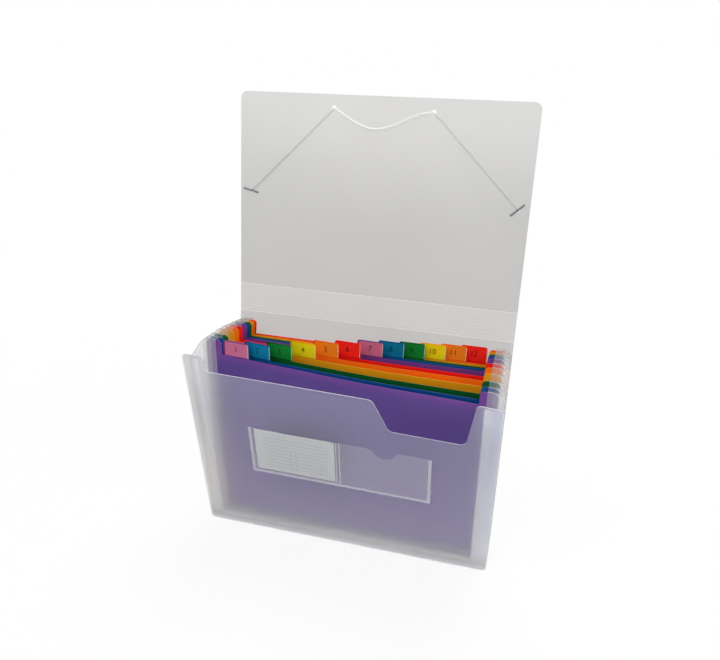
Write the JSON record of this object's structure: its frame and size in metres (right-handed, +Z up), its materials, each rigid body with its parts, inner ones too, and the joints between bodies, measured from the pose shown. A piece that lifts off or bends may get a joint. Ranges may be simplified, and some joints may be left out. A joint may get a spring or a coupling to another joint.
{
  "type": "accordion file folder",
  "caption": "Translucent accordion file folder with fanned tinted dividers, staggered index tabs, pleated gussets, a front card pocket and a fold-over flap with an elastic cord.",
  "frame": {"origin": "on the floor under the middle of the open file's box", "axes": "+X to the right seen from the front, -Y to the front, +Z up"},
  "size_m": [0.33, 0.164, 0.4888],
  "materials": {
    "clear_cover": "frosted translucent sheet",
    "clear_film": "thin frosted translucent film",
    "paper": "uncoated white card",
    "elastic": "braided white covering",
    "tip_metal": "bright plated wire",
    "film_purple": "tinted translucent sheet",
    "film_blue": "tinted translucent sheet",
    "film_green": "tinted translucent sheet",
    "film_amber": "tinted translucent sheet",
    "film_orange": "tinted translucent sheet",
    "film_red": "tinted translucent sheet"
  },
  "bodies": {
    "back": {"back_panel": "clear_cover", "gusset_13": "clear_film"},
    "spine": {"spine": "clear_cover"},
    "flap": {"flap": "clear_cover", "elastic_cord": "elastic", "left_cord_tip": "tip_metal", "right_cord_tip": "tip_metal"},
    "divider_12": {"divider_12": "film_red", "tab_insert_12": "paper", "gusset_12": "clear_film"},
    "divider_11": {"divider_11": "film_orange", "tab_insert_11": "paper", "gusset_11": "clear_film"},
    "divider_10": {"divider_10": "film_amber", "tab_insert_10": "paper", "gusset_10": "clear_film"},
    "divider_09": {"divider_09": "film_green", "tab_insert_09": "paper", "gusset_09": "clear_film"},
    "divider_08": {"divider_08": "film_blue", "tab_insert_08": "paper", "gusset_08": "clear_film"},
    "divider_07": {"divider_07": "film_purple", "tab_insert_07": "paper", "gusset_07": "clear_film"},
    "divider_06": {"divider_06": "film_red", "tab_insert_06": "paper", "gusset_06": "clear_film"},
    "divider_05": {"divider_05": "film_orange", "tab_insert_05": "paper", "gusset_05": "clear_film"},
    "divider_04": {"divider_04": "film_amber", "tab_insert_04": "paper", "gusset_04": "clear_film"},
    "divider_03": {"divider_03": "film_green", "tab_insert_03": "paper", "gusset_03": "clear_film"},
    "divider_02": {"divider_02": "film_blue", "tab_insert_02": "paper", "gusset_02": "clear_film"},
    "divider_01": {"divider_01": "film_purple", "tab_insert_01": "paper", "gusset_01": "clear_film"},
    "front": {"front_panel": "clear_cover", "label_holder": "clear_film"},
    "card": {"index_card": "paper"}
  },
  "joints": [
    {"name": "spine_fold", "type": "hinge", "parent": "back", "child": "spine", "pos_m": [0, 0.06521, 0.23429], "axis": [1, 0, 0], "range_deg": [-20, 83.33]},
    {"name": "flap_fold", "type": "hinge", "parent": "spine", "child": "flap", "pos_m": [0, 0.06729, 0.26823], "axis": [1, 0, 0], "range_deg": [-115, 90]},
    {"name": "pocket_13_fold", "type": "hinge", "parent": "back", "child": "divider_12", "pos_m": [0, 0.01068, -0.07088], "axis": [1, 0, 0], "range_deg": [-1.48, 0.36], "deforming": ["gusset_13"]},
    {"name": "pocket_12_fold", "type": "hinge", "parent": "divider_12", "child": "divider_11", "pos_m": [0, 0.00851, -0.07055], "axis": [1, 0, 0], "range_deg": [-0.79418, 0.19821], "deforming": ["gusset_12"]},
    {"name": "pocket_11_fold", "type": "hinge", "parent": "divider_11", "child": "divider_10", "pos_m": [0, 0.00633, -0.07025], "axis": [1, 0, 0], "range_deg": [-0.79418, 0.19821], "deforming": ["gusset_11"]},
    {"name": "pocket_10_fold", "type": "hinge", "parent": "divider_10", "child": "divider_09", "pos_m": [0, 0.00415, -0.06997], "axis": [1, 0, 0], "range_deg": [-0.79418, 0.19821], "deforming": ["gusset_10"]},
    {"name": "pocket_09_fold", "type": "hinge", "parent": "divider_09", "child": "divider_08", "pos_m": [0, 0.00196, -0.06973], "axis": [1, 0, 0], "range_deg": [-0.79418, 0.19821], "deforming": ["gusset_09"]},
    {"name": "pocket_08_fold", "type": "hinge", "parent": "divider_08", "child": "divider_07", "pos_m": [0, -0.00023, -0.06952], "axis": [1, 0, 0], "range_deg": [-1.11, 0.28], "deforming": ["gusset_08"]},
    {"name": "pocket_07_fold", "type": "hinge", "parent": "divider_07", "child": "divider_06", "pos_m": [0, -0.00242, -0.06935], "axis": [1, 0, 0], "range_deg": [-2.22, 0.54], "deforming": ["gusset_07"]},
    {"name": "pocket_06_fold", "type": "hinge", "parent": "divider_06", "child": "divider_05", "pos_m": [0, -0.00462, -0.06927], "axis": [1, 0, 0], "range_deg": [-1.67, 0.41], "deforming": ["gusset_06"]},
    {"name": "pocket_05_fold", "type": "hinge", "parent": "divider_05", "child": "divider_04", "pos_m": [0, -0.00682, -0.06925], "axis": [1, 0, 0], "range_deg": [-2.22, 0.54], "deforming": ["gusset_05"]},
    {"name": "pocket_04_fold", "type": "hinge", "parent": "divider_04", "child": "divider_03", "pos_m": [0, -0.00902, -0.06931], "axis": [1, 0, 0], "range_deg": [-2.66, 0.65], "deforming": ["gusset_04"]},
    {"name": "pocket_03_fold", "type": "hinge", "parent": "divider_03", "child": "divider_02", "pos_m": [0, -0.01121, -0.06948], "axis": [1, 0, 0], "range_deg": [-1.67, 0.41], "deforming": ["gusset_03"]},
    {"name": "pocket_02_fold", "type": "hinge", "parent": "divider_02", "child": "divider_01", "pos_m": [0, -0.0134, -0.06971], "axis": [1, 0, 0], "range_deg": [-1.11, 0.28], "deforming": ["gusset_02"]},
    {"name": "pocket_01_fold", "type": "hinge", "parent": "divider_01", "child": "front", "pos_m": [0, -0.01559, -0.06998], "axis": [1, 0, 0], "range_deg": [-4.89, 1.18], "deforming": ["gusset_01"]},
    {"name": "card_slide", "type": "slide", "parent": "front", "child": "card", "axis": [0, -0.2074, 0.9783], "range_m": [0, 0.055]}
  ],
  "couplings": [
    {"joint": "spine_fold", "follows": "pocket_13_fold", "ratio": -56.304},
    {"joint": "pocket_12_fold", "follows": "pocket_13_fold", "ratio": 0.52985},
    {"joint": "pocket_11_fold", "follows": "pocket_13_fold", "ratio": 0.52985},
    {"joint": "pocket_10_fold", "follows": "pocket_13_fold", "ratio": 0.52985},
    {"joint": "pocket_09_fold", "follows": "pocket_13_fold", "ratio": 0.52985},
    {"joint": "pocket_08_fold", "follows": "pocket_13_fold", "ratio": 0.74627},
    {"joint": "pocket_07_fold", "follows": "pocket_13_fold", "ratio": 1.4925},
    {"joint": "pocket_06_fold", "follows": "pocket_13_fold", "ratio": 1.1194},
    {"joint": "pocket_05_fold", "follows": "pocket_13_fold", "ratio": 1.4925},
    {"joint": "pocket_04_fold", "follows": "pocket_13_fold", "ratio": 1.791},
    {"joint": "pocket_03_fold", "follows": "pocket_13_fold", "ratio": 1.1194},
    {"joint": "pocket_02_fold", "follows": "pocket_13_fold", "ratio": 0.74627},
    {"joint": "pocket_01_fold", "follows": "pocket_13_fold", "ratio": 3.2985}
  ]
}
